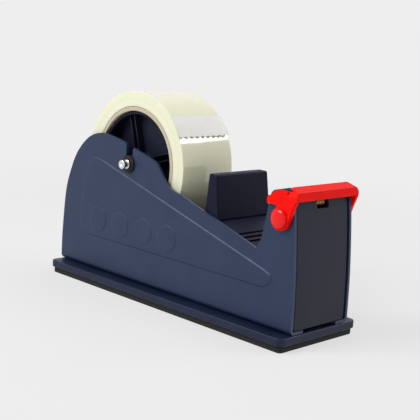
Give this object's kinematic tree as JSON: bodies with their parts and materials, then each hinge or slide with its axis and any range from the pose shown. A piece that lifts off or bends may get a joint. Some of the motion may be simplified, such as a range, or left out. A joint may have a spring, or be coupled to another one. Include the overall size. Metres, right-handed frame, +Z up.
{
  "type": "bench tape dispenser",
  "caption": "Weighted steel bench dispenser for packing tape, with a drop-in reel, a ribbed ramp and a sprung red guard over the blade.",
  "frame": {"origin": "middle of the rubber mat's underside", "axes": "+X towards the cutting end, +Y towards the far side plate, +Z up"},
  "size_m": [0.2388, 0.0766, 0.1468],
  "materials": {
    "blue_enamel": "satin blue enamel on steel sheet",
    "dark_enamel": "dark satin enamel on steel sheet",
    "dark_plastic": "dark moulded plastic with a fine grain",
    "hub_plastic": "near-black moulded plastic",
    "bush_plastic": "black moulded nylon",
    "red_plastic": "glossy red moulded plastic",
    "chrome": "polished chromium plate",
    "steel": "plain zinced steel",
    "blade_steel": "ground spring steel",
    "spring_steel": "yellow zinced spring wire",
    "iron": "rough cast iron",
    "rubber": "black cellular rubber",
    "tape": "clear packing tape, wound",
    "cardboard": "grey-brown wound paper"
  },
  "bodies": {
    "frame": {"rubber_mat": "rubber", "base_plate": "blue_enamel", "left_side_plate": "blue_enamel", "right_side_plate": "blue_enamel", "front_panel": "dark_enamel", "rear_panel": "blue_enamel", "landing_plate": "dark_enamel", "blade": "blade_steel", "blade_screw_1": "steel", "blade_screw_2": "steel", "blade_nut_1": "steel", "blade_nut_2": "steel", "guard_pivot_rod": "steel", "left_pivot_cap": "red_plastic", "right_pivot_cap": "red_plastic", "spring_rod": "steel", "guard_spring": "spring_steel", "ribbed_ramp": "dark_plastic", "guide_block": "dark_plastic", "guide_block_screw_1": "steel", "guide_block_screw_2": "steel", "ballast_block": "iron", "ballast_bolt_1": "steel", "ballast_bolt_2": "steel", "flange_screw_1": "steel", "flange_screw_2": "steel", "flange_screw_3": "steel", "flange_screw_4": "steel", "flange_screw_5": "steel", "flange_screw_6": "steel"},
    "axle": {"axle_rod": "chrome", "left_axle_bush": "bush_plastic", "right_axle_bush": "bush_plastic", "left_axle_cap": "chrome", "right_axle_cap": "chrome"},
    "reel": {"left_hub_half": "hub_plastic", "right_hub_half": "hub_plastic", "core_tube": "cardboard", "tape_roll": "tape", "tape_end": "tape"},
    "guard": {"guard": "red_plastic"}
  },
  "joints": [
    {"name": "reel_lift", "type": "slide", "parent": "frame", "child": "axle", "axis": [0, 0, 1], "range_m": [0, 0.08]},
    {"name": "reel_spin", "type": "hinge", "parent": "axle", "child": "reel", "pos_m": [-0.0423, 0, 0.095], "axis": [0, 1, 0], "continuous": true},
    {"name": "guard_swing", "type": "hinge", "parent": "frame", "child": "guard", "pos_m": [0.1048, 0, 0.0821], "axis": [0, 1, 0], "range_deg": [0, 45], "stiffness_Nm_per_rad": 0.02, "springref_deg": -28.65, "deforming": ["guard_spring"]}
  ]
}
